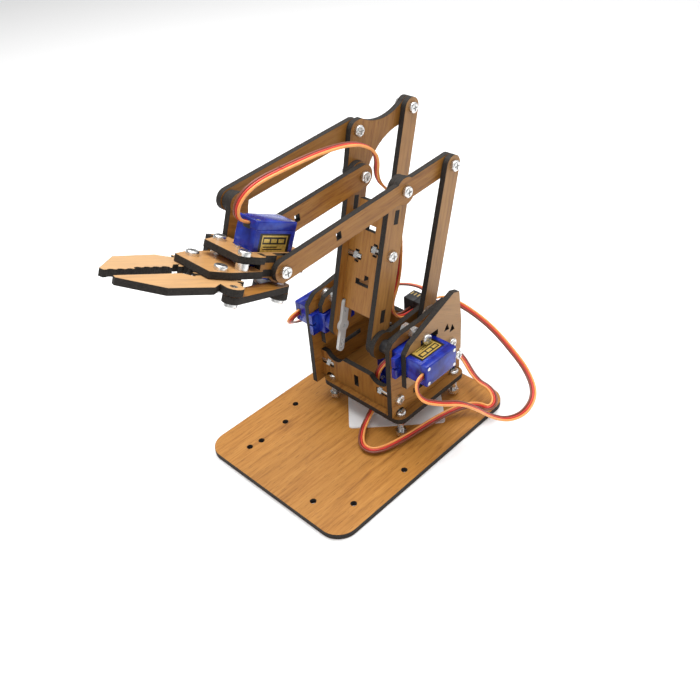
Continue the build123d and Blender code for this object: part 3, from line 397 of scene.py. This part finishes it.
def dress_metal_and_plastic():
    """Give the screws, the glide sheet, the servo shafts and the horns their materials."""
    for node in (
        "yaw_horn_screws", "turret_feet", "turret_fasteners", "level_pivot", "column_fasteners",
        "elbow_axles", "crank_pin_screw", "level_top_pin", "triangle_top_pin", "forearm_pins",
        "palm_fasteners", "finger_pivots", "hand_pins", "finger_link_screw", "claw_crank_screw",
    ):
        dress(node, STEEL)
    dress("glide_sheet", sheet_material())
    for part in ("yaw", "elbow", "shoulder", "claw"):
        dress(part + "_servo_shaft", WHITE_PLASTIC)
        dress(part + "_horn", BLACK_PLASTIC if part == "elbow" else WHITE_PLASTIC)


# ---------------------------------------------------------------- mesh helpers
def mesh_object(name, mesh, materials):
    """Put a mesh in the scene as a smooth-shaded object."""
    piece = bpy.data.objects.new(name, mesh)
    bpy.context.scene.collection.objects.link(piece)
    for material in materials:
        mesh.materials.append(material)
    for polygon in mesh.polygons:
        polygon.use_smooth = True
    return piece


def rounded_box(bm, low, high, radius, material=0, segments=3):
    """Add a box with rounded edges to a bmesh."""
    low, high = Vector(low), Vector(high)
    made = bmesh.ops.create_cube(bm, size=1.0)["verts"]
    for vert in made:
        vert.co = Vector([low[i] + (vert.co[i] + 0.5) * (high[i] - low[i]) for i in range(3)])
    edges = list({edge for vert in made for edge in vert.link_edges})
    faces = list({face for vert in made for face in vert.link_faces})
    for face in faces:
        face.material_index = material
    if radius > 0:
        result = bmesh.ops.bevel(
            bm, geom=edges, offset=radius, segments=segments, affect="EDGES", profile=0.5,
        )
        for face in result["faces"]:
            face.material_index = material


def disc(bm, centre, radius, low, high, material=0, segments=40, bevel=0.0):
    """Add an upright cylinder from low to high, its top edge bevelled."""
    made = bmesh.ops.create_cone(
        bm, cap_ends=True, segments=segments, radius1=radius, radius2=radius, depth=high - low,
        matrix=Matrix.Translation((centre[0], centre[1], (low + high) / 2)),
    )["verts"]
    faces = {face for vert in made for face in vert.link_faces}
    for face in faces:
        face.material_index = material
    if bevel > 0:
        rim = [
            edge for edge in {edge for vert in made for edge in vert.link_edges}
            if all(abs(vert.co.z - high) < 1e-6 for vert in edge.verts)
        ]
        result = bmesh.ops.bevel(bm, geom=rim, offset=bevel, segments=2, affect="EDGES", profile=0.5)
        for face in result["faces"]:
            face.material_index = material


def finish_bmesh(name, bm, materials, matrix, flat_angle=35):
    """Turn a bmesh drawn in millimetres into a placed object, with edges past flat_angle kept sharp."""
    bmesh.ops.remove_doubles(bm, verts=bm.verts, dist=1e-5)
    bmesh.ops.recalc_face_normals(bm, faces=bm.faces)
    mesh = bpy.data.meshes.new(name)
    bm.to_mesh(mesh)
    bm.free()
    mesh.transform(matrix @ Matrix.Scale(MM, 4))
    piece = mesh_object(name, mesh, materials)
    mesh.set_sharp_from_angle(angle=math.radians(flat_angle))
    return piece


# ---------------------------------------------------------------- servos
SERVO_LONG, SERVO_WIDE, SERVO_HIGH = 22.8, 12.2, 22.7
EAR_LOW, EAR_HIGH, EAR_LONG, EAR_HOLE = 15.9, 18.4, 32.2, 13.9
BOSS_HIGH, BOSS_R, SHAFT_OFFSET = 26.0, 5.8, 5.3
SKIN = 0.02                     # the mesh lies this far inside the CAD case
BACK_COVER_TOP = 4.2
MIDDLE_LOW, MIDDLE_HIGH = 4.5, 15.6
SEAM_DEPTH = 0.12
COVER_EDGE_R = 0.7
MIDDLE_EDGE_R = 0.5
SMALL_BOSS_R = 2.55
EAR_SLOT_R = 1.05
EAR_MOUTH_HALF = 0.6
CASE_SCREW_INSET, CASE_SCREW_R, CASE_SCREW_HIGH = 1.7, 0.95, 0.45
DRIVER_SLOT_HALF = (0.75, 0.12)
EXIT_DEPTH, EXIT_HALF, EXIT_LOW, EXIT_HIGH = 0.9, 2.3, 1.2, 4.6
LABEL_HALF, LABEL_LOW, LABEL_HIGH, LABEL_THICK = 8.6, 5.2, 14.4, 0.06
LABEL_MIDDLE = 9.6


def ear(bm, side):
    """One mounting ear: a plate with a round screw hole that is open to its outer edge."""
    root, outer = SERVO_LONG / 2 - 0.3, EAR_LONG / 2
    half, mouth = SERVO_WIDE / 2, EAR_MOUTH_HALF
    mouth_start = EAR_HOLE + 0.8
    outline = [(root, -half), (outer, -half), (outer, -mouth), (mouth_start, -mouth)]
    for degrees in range(-35, -326, -29):
        angle = math.radians(degrees)
        outline.append((EAR_HOLE + EAR_SLOT_R * math.cos(angle), EAR_SLOT_R * math.sin(angle)))
    outline += [(mouth_start, mouth), (outer, mouth), (outer, half), (root, half)]
    verts = [bm.verts.new((side * x, y, EAR_LOW + 0.05)) for x, y in outline]
    face = bm.faces.new(verts)
    made = bmesh.ops.extrude_face_region(bm, geom=[face])
    top = [item for item in made["geom"] if isinstance(item, bmesh.types.BMVert)]
    bmesh.ops.translate(bm, verts=top, vec=(0, 0, EAR_HIGH - EAR_LOW - 0.1))


def servo_mouldings(name, node, body, matrix):
    """Blue case of a micro servo: back cover, middle and gear cover, with bosses and ears."""
    bm = bmesh.new()
    long, wide = SERVO_LONG / 2 - SKIN, SERVO_WIDE / 2 - SKIN
    core_long, core_wide = long - SEAM_DEPTH, wide - SEAM_DEPTH
    boss_foot, boss_top = SERVO_HIGH - 0.5, BOSS_HIGH - SKIN
    rounded_box(bm, (-long, -wide, SKIN), (long, wide, BACK_COVER_TOP), COVER_EDGE_R)
    rounded_box(bm, (-core_long, -core_wide, 3.8), (core_long, core_wide, 16.2), 0.25)
    rounded_box(bm, (-long, -wide, MIDDLE_LOW), (long, wide, MIDDLE_HIGH), MIDDLE_EDGE_R)
    rounded_box(bm, (-long, -wide, EAR_LOW), (long, wide, SERVO_HIGH - SKIN), COVER_EDGE_R)
    disc(bm, (SHAFT_OFFSET, 0), BOSS_R - 0.05, boss_foot, boss_top, 0, 48, 0.4)
    disc(bm, (SHAFT_OFFSET - BOSS_R - 0.6, 0), SMALL_BOSS_R, boss_foot, boss_top, 0, 32, 0.3)
    for side in (-1, 1):
        ear(bm, side)
    case = finish_bmesh(name, bm, [BLUE], matrix)
    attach(case, body)
    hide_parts(node)


def servo_screws(name, body, matrix):
    """The four screws in the case's back, each with a driver slot."""
    bm = bmesh.new()
    slot_x, slot_y = DRIVER_SLOT_HALF
    for side_x in (-1, 1):
        for side_y in (-1, 1):
            x = side_x * (SERVO_LONG / 2 - CASE_SCREW_INSET)
            y = side_y * (SERVO_WIDE / 2 - CASE_SCREW_INSET)
            disc(bm, (x, y), CASE_SCREW_R, 0.0, CASE_SCREW_HIGH, 0, 24, 0.12)
            # The driver slot is a thin plate of darker steel just proud of the head, painted shade in place
            # of a cut recess.
            rounded_box(bm, (x - slot_x, y - slot_y, -0.01), (x + slot_x, y + slot_y, 0.08), 0.02, 1, 1)
    screws = finish_bmesh(name + "_screws", bm, [STEEL, SLOT_SHADE_STEEL], matrix)
    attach(screws, body)


def servo_lead_exit(name, body, matrix, exit_side):
    """Black grommet that the lead comes out of."""
    bm = bmesh.new()
    ends = sorted((exit_side * (SERVO_LONG / 2 - EXIT_DEPTH), exit_side * SERVO_LONG / 2))
    rounded_box(bm, (ends[0], -EXIT_HALF, EXIT_LOW), (ends[1], EXIT_HALF, EXIT_HIGH), 0.3)
    grommet = finish_bmesh(name + "_lead_exit", bm, [BLACK_PLASTIC], matrix)
    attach(grommet, body)


def servo_labels(name, body, matrix):
    """A foil label on each long side of the case."""
    rotation = matrix.to_3x3()
    for side in (-1, 1):
        centre = matrix @ Vector((0, side * SERVO_WIDE / 2 * MM, LABEL_MIDDLE * MM))
        letter = "a" if side > 0 else "b"
        along = tuple(rotation @ Vector((1, 0, 0)))
        down = tuple(rotation @ Vector((0, 0, -1)))
        material = label_material(f"{name}_label_{letter}", along, down, tuple(centre))
        bm = bmesh.new()
        faces = sorted((side * (SERVO_WIDE / 2 - LABEL_THICK), side * SERVO_WIDE / 2))
        rounded_box(bm, (-LABEL_HALF, faces[0], LABEL_LOW), (LABEL_HALF, faces[1], LABEL_HIGH), 0.0)
        label = finish_bmesh(f"{name}_label_{letter}", bm, [material], matrix)
        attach(label, body)


def servo_case(part, body, matrix, exit_side):
    """All the pieces of one servo's case."""
    name = part + "_servo_case"
    servo_mouldings(name, part + "_servo", body, matrix)
    servo_screws(name, body, matrix)
    servo_lead_exit(name, body, matrix, exit_side)
    servo_labels(name, body, matrix)


def servo_matrix(origin, x_axis, z_axis):
    """Placement of a servo drawn on its back, in metres."""
    x = Vector(x_axis).normalized()
    z = Vector(z_axis).normalized()
    y = z.cross(x)
    matrix = Matrix((x, y, z)).transposed().to_4x4()
    matrix.translation = Vector(origin)
    return matrix


def add_servos():
    """Place the turret's three servos from their CAD boxes, and the claw's from its crank axis."""
    low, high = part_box("yaw_servo")
    origin = ((low[0] + high[0]) / 2, (low[1] + high[1]) / 2, high[2])
    servo_case("yaw", "turret", servo_matrix(origin, (1, 0, 0), (0, 0, -1)), 1)
    low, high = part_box("elbow_servo")
    origin = ((low[0] + high[0]) / 2, high[1], (low[2] + high[2]) / 2)
    servo_case("elbow", "turret", servo_matrix(origin, (1, 0, 0), (0, -1, 0)), 1)
    low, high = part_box("shoulder_servo")
    origin = ((low[0] + high[0]) / 2, low[1], (low[2] + high[2]) / 2)
    servo_case("shoulder", "turret", servo_matrix(origin, (1, 0, 0), (0, 1, 0)), 1)
    axis = Vector(JOINTS["claw_crank"]["pos_m"])
    back_up = (axis - WRIST).dot(HAND_UP)
    origin = axis + HAND_FORWARD * SHAFT_OFFSET * MM + HAND_UP * (CLAW_BACK_UP - back_up)
    servo_case("claw", "hand", servo_matrix(origin, -HAND_FORWARD, -HAND_UP), -1)


# ---------------------------------------------------------------- leads
WIRE_R = 0.62 * MM
WIRE_PITCH = 1.22 * MM
WIRE_SIDES = 12
TURRET_FAN = (14 * MM, 1.6)     # the wires part over this last stretch, to this many times their pitch
CLAW_FAN = (20 * MM, 1.9)
CLAW_LEAD = [
    (80.56, -2.0, 147.72), (85.5, -2.0, 150.02), (85.0, -1.5, 157.5), (77.0, 0.4, 163.6),
    (60.0, 1.6, 164.6), (39.0, 2.6, 164.6), (20.0, 3.4, 161.5), (8.0, 3.8, 152.5), (8.5, 1.8, 139.0),
    (-3.5, 0.4, 127.0), (-11.0, -2.0, 109.0), (-13.0, -3.4, 90.0), (-11.5, -4.2, 72.0), (-4.0, -4.4, 59.0),
    (-10.0, -4.0, 47.5), (-22.5, -4.0, 47.5),
]
YAW_LEAD = [
    (6.1, 3.0, 33.5), (14.5, 3.0, 33.5), (17.0, 3.0, 24.0), (15.3, 3.2, 13.5), (26.9, 5.0, 7.5),
    (37.3, 9.5, 6.0), (44.3, 16.7, 5.5), (42.3, 24.8, 5.5), (27.4, 29.6, 6.0), (1.6, 34.2, 7.5),
    (-10.9, 39.3, 9.0), (-16.7, 45.6, 10.0), (-16.8, 52.8, 10.5), (-23.9, 52.1, 11.0), (-29.5, 44.7, 12.5),
    (-27.8, 35.8, 14.5), (-37.5, 18.0, 18.5), (-34.5, 9.5, 23.0), (-29.3, 8.0, 30.0), (-29.3, 8.0, 40.0),
]
ELBOW_LEAD = [
    (25.6, 43.0, 55.0), (31.5, 43.0, 55.0), (33.5, 47.5, 47.5), (24.5, 53.5, 42.5), (14.0, 56.5, 38.0),
    (5.0, 60.0, 30.0), (-4.0, 63.0, 20.0), (-14.0, 67.0, 13.0), (-27.0, 69.0, 10.5), (-40.0, 66.0, 13.0),
    (-47.0, 56.0, 19.0), (-49.0, 43.0, 27.0), (-49.5, 30.0, 35.0), (-48.0, 18.0, 41.0), (-44.5, 8.0, 46.0),
    (-38.5, 3.0, 49.5), (-31.5, 3.0, 49.5),
]
SHOULDER_LEAD = [
    (25.6, -43.4, 55.0), (29.6, -43.4, 55.0), (31.0, -46.5, 50.0), (25.0, -50.5, 44.0), (12.0, -51.5, 40.0),
    (0.0, -50.0, 38.5), (-16.0, -47.0, 39.5), (-31.0, -40.0, 43.0), (-41.0, -27.0, 46.0),
    (-44.0, -15.0, 46.5), (-40.0, -7.5, 46.5), (-31.5, -7.5, 46.5),
]


def smooth_path(name, route):
    """Points in metres along the NURBS spline whose control points are the route's."""
    curve = bpy.data.curves.new(name + "_route", "CURVE")
    curve.dimensions = "3D"
    curve.resolution_u = 16
    spline = curve.splines.new("NURBS")
    spline.points.add(len(route) - 1)
    for point, place in zip(spline.points, route):
        point.co = (*[value * MM for value in place], 1)
    spline.order_u = 3
    spline.use_endpoint_u = True
    holder = bpy.data.objects.new(name + "_route", curve)
    bpy.context.scene.collection.objects.link(holder)
    mesh = bpy.data.meshes.new_from_object(holder)
    points = [vert.co.copy() for vert in mesh.vertices]
    bpy.data.objects.remove(holder)
    bpy.data.meshes.remove(mesh)
    return points


def path_length(points):
    """Length along a line of points."""
    return sum((b - a).length for a, b in zip(points, points[1:]))


def side_vectors(points, first):
    """Ribbon width directions carried along the path with as little twist as possible."""
    tangents = []
    for index in range(len(points)):
        before = points[max(index - 1, 0)]
        after = points[min(index + 1, len(points) - 1)]
        tangents.append((after - before).normalized())
    side = (first - tangents[0] * first.dot(tangents[0])).normalized()
    sides = []
    for tangent in tangents:
        side = (side - tangent * side.dot(tangent)).normalized()
        sides.append(side.copy())
    return tangents, sides


def ribbon(name, points, tangents, sides, fans, body=None):
    """Three insulated wires side by side along the points, as one mesh."""
    bm = bmesh.new()
    for number in range(3):
        rings = []
        for point, tangent, side, fan in zip(points, tangents, sides, fans):
            up = tangent.cross(side)
            centre = point + side * (number - 1) * WIRE_PITCH * fan
            ring = []
            for step in range(WIRE_SIDES):
                angle = 2 * math.pi * step / WIRE_SIDES
                ring.append(bm.verts.new(centre + (side * math.cos(angle) + up * math.sin(angle)) * WIRE_R))
            rings.append(ring)
        for one, two in zip(rings, rings[1:]):
            for step in range(WIRE_SIDES):
                following = (step + 1) % WIRE_SIDES
                face = bm.faces.new((one[step], one[following], two[following], two[step]))
                face.material_index = number
        for ring in (rings[0][::-1], rings[-1]):
            bm.faces.new(ring).material_index = number
    bmesh.ops.recalc_face_normals(bm, faces=bm.faces)
    mesh = bpy.data.meshes.new(name)
    bm.to_mesh(mesh)
    bm.free()
    piece = mesh_object(name, mesh, [WIRES["brown"], WIRES["red"], WIRES["orange"]])
    if body:
        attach(piece, body)
    return piece


def fan_out(points, reach, most):
    """How far the wires spread at each point: together, then apart over the last stretch."""
    total = path_length(points)
    walked = 0.0
    fans = []
    for index, point in enumerate(points):
        if index:
            walked += (point - points[index - 1]).length
        near = max(0.0, 1 - (total - walked) / reach)
        fans.append(1 + (most - 1) * near * near * (3 - 2 * near))
    return fans


def turret_lead(name, route, first_side):
    """A lead that stays on the turret, from a servo to the plugs."""
    points = smooth_path(name, route)
    tangents, sides = side_vectors(points, Vector(first_side))
    piece = ribbon(name + "_wires", points, tangents, sides, fan_out(points, *TURRET_FAN), "turret")
    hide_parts(name)


# Where the claw's lead passes from one moving piece of the arm to the next, as shares of its length.
CLAW_LEAD_SPANS = [
    ("hand_to_forearm", "hand", "forearm", 0.0, 0.24),
    ("over_forearm", "forearm", "elbow_triangle", 0.24, 0.46),
    ("past_elbow", "elbow_triangle", "upper_arm", 0.46, 0.64),
    ("down_to_turret", "upper_arm", "turret", 0.64, 1.0),
]


def claw_lead():
    """The lead from the hand to the plugs, cut where it passes from one moving body to the next."""
    points = smooth_path("claw_lead", CLAW_LEAD)
    tangents, sides = side_vectors(points, Vector(Y_AXIS))
    fans = fan_out(points, *CLAW_FAN)
    last = len(points) - 1
    for name, near, far, start, end in CLAW_LEAD_SPANS:
        low, high = round(start * last), round(end * last)
        part = slice(low, high + 1)
        piece = ribbon("claw_lead_" + name, points[part], tangents[part], sides[part], fans[part])
        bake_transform(piece)
        if low == 0:
            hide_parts("claw_lead")


PLUG_ROWS = 3
PLUG_GAP = 0.08                 # from a housing to the edge of its share of the block
PLUG_EDGE_R = 0.35
CONTACT_PITCH, CONTACT_HALF, CONTACT_DEEP = 2.2, 0.55, 0.6
CONTACT_FROM, CONTACT_TO = 1.6, 4.4


def lead_plugs():
    """Plug housings side by side in one block, each with three contacts in its top."""
    low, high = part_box("lead_plugs")
    low, high = Vector(low) / MM, Vector(high) / MM
    bm = bmesh.new()
    width = (high.y - low.y) / PLUG_ROWS
    for row in range(PLUG_ROWS):
        start = low.y + row * width
        housing_low = (low.x + SKIN, start + PLUG_GAP, low.z + SKIN)
        housing_high = (high.x - SKIN, start + width - PLUG_GAP, high.z - SKIN)
        rounded_box(bm, housing_low, housing_high, PLUG_EDGE_R)
        for pin in range(3):
            middle = start + width / 2 + (pin - 1) * CONTACT_PITCH
            contact_low = (low.x + CONTACT_FROM, middle - CONTACT_HALF, high.z - CONTACT_DEEP)
            contact_high = (low.x + CONTACT_TO, middle + CONTACT_HALF, high.z)
            rounded_box(bm, contact_low, contact_high, 0.1, 1, 1)
    block = finish_bmesh("lead_plug_block", bm, [BLACK_PLASTIC, BRASS], Matrix.Identity(4))
    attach(block, "turret")
    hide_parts("lead_plugs")


# ---------------------------------------------------------------- threads
THREAD_PITCH = 0.5 * MM
THREAD_SIDES = 18
THREAD_FOOT = -0.12 * MM        # the ridge's foot and crest, from the screw's radius
THREAD_CREST = 0.10 * MM
THREAD_HALF = 0.30              # half the ridge's width at its foot, in pitches
FOOT_SCREW_R = 1.5 * MM
FOOT_NUT_R = 2.8 * MM
FOOT_THREAD_LOW = 3.2 * MM      # bare thread starts this far above a foot's tip
FOOT_THREAD_HIGH = 2.8 * MM     # and ends this far below the turret's floor


def thread(name, body, start, end, radius):
    """Helical ridge round a bare stretch of screw, from start to end in metres."""
    start, end = Vector(start), Vector(end)
    axis = (end - start).normalized()
    side = axis.orthogonal().normalized()
    other = axis.cross(side)
    steps = int((end - start).length / THREAD_PITCH * THREAD_SIDES)
    bm = bmesh.new()
    previous = None
    for step in range(steps + 1):
        angle = 2 * math.pi * step / THREAD_SIDES
        out = side * math.cos(angle) + other * math.sin(angle)
        centre = start + axis * THREAD_PITCH * step / THREAD_SIDES
        half = axis * THREAD_PITCH * THREAD_HALF
        ring = [
            bm.verts.new(centre + out * (radius + THREAD_FOOT) - half),
            bm.verts.new(centre + out * (radius + THREAD_CREST)),
            bm.verts.new(centre + out * (radius + THREAD_FOOT) + half),
        ]
        if previous:
            for corner in range(3):
                following = (corner + 1) % 3
                bm.faces.new((previous[corner], previous[following], ring[following], ring[corner]))
        else:
            bm.faces.new(ring[::-1])
        previous = ring
    bm.faces.new(previous)
    bmesh.ops.recalc_face_normals(bm, faces=bm.faces)
    mesh = bpy.data.meshes.new(name)
    bm.to_mesh(mesh)
    bm.free()
    piece = mesh_object(name, mesh, [STEEL])
    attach(piece, body)


def add_threads():
    """Threads on the turret's four feet, below its floor."""
    low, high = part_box("turret_feet")
    thread_low = low[2] + FOOT_THREAD_LOW
    thread_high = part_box("turret_floor")[0][2] - FOOT_THREAD_HIGH
    for i, x in enumerate((low[0] + FOOT_NUT_R, high[0] - FOOT_NUT_R)):
        for j, y in enumerate((low[1] + FOOT_NUT_R, high[1] - FOOT_NUT_R)):
            thread(f"foot_thread_{i}{j}", "turret", (x, y, thread_low), (x, y, thread_high), FOOT_SCREW_R)


# ---------------------------------------------------------------- stage
FLOOR_SIZE = 6
FLOOR_DROP = 0.2 * MM
FLOOR_WHITE = (0.93, 0.93, 0.93, 1)
SKY_WHITE = (1, 1, 1, 1)
SKY_STRENGTH = 0.44
LAMPS = [                       # name, place in metres, side of its square in metres, power in watts
    ("key", (-0.05, -0.12, 1.0), 0.9, 15.0), ("fill", (0.75, 0.35, 0.55), 0.7, 1.6),
    ("back", (-0.6, 0.3, 0.6), 0.6, 1.6),
]
LAMP_AIM = (0.02, 0, 0.07)
CAMERA_PLACE = (255.08, 237.09, 302.78)     # millimetres
CAMERA_TURN = (52.681, 3.798, 133.890)
CAMERA_SENSOR = 36
CAMERA_LENS = 41.709
CAMERA_SHIFT = (0.00214, -0.00357)


def add_stage():
    """White floor, even sky and three soft lamps."""
    bpy.ops.mesh.primitive_plane_add(size=FLOOR_SIZE, location=(0, 0, -FLOOR_DROP))
    floor = bpy.context.object
    floor.name = "studio_floor"
    tree = Tree("studio_white")
    tree.set(Base_Color=FLOOR_WHITE, Roughness=0.6)
    floor.data.materials.append(tree.material)
    world = bpy.data.worlds.new("studio")
    world.use_nodes = True
    background = world.node_tree.nodes["Background"]
    background.inputs["Color"].default_value = SKY_WHITE
    background.inputs["Strength"].default_value = SKY_STRENGTH
    bpy.context.scene.world = world
    for name, place, size, power in LAMPS:
        lamp = bpy.data.lights.new(name, "AREA")
        lamp.size = size
        lamp.energy = power
        holder = bpy.data.objects.new(name, lamp)
        holder.location = place
        towards = Vector(LAMP_AIM) - Vector(place)
        holder.rotation_euler = towards.to_track_quat("-Z", "Y").to_euler()
        bpy.context.scene.collection.objects.link(holder)
    bpy.context.scene.view_settings.view_transform = "Standard"


def add_camera():
    """Camera above the front corner, looking down at the turret."""
    camera = bpy.data.cameras.new("camera")
    camera.sensor_width = CAMERA_SENSOR
    camera.lens = CAMERA_LENS
    camera.clip_start = 0.01
    camera.shift_x, camera.shift_y = CAMERA_SHIFT
    holder = bpy.data.objects.new("camera", camera)
    holder.location = Vector(CAMERA_PLACE) * MM
    holder.rotation_euler = [math.radians(angle) for angle in CAMERA_TURN]
    bpy.context.scene.collection.objects.link(holder)
    bpy.context.scene.camera = holder


dress_boards()
dress_metal_and_plastic()
add_servos()
turret_lead("yaw_lead", YAW_LEAD, (0, 1, 0))
turret_lead("elbow_lead", ELBOW_LEAD, (0, 0, 1))
turret_lead("shoulder_lead", SHOULDER_LEAD, (0, 0, 1))
claw_lead()
lead_plugs()
add_threads()
add_stage()
add_camera()
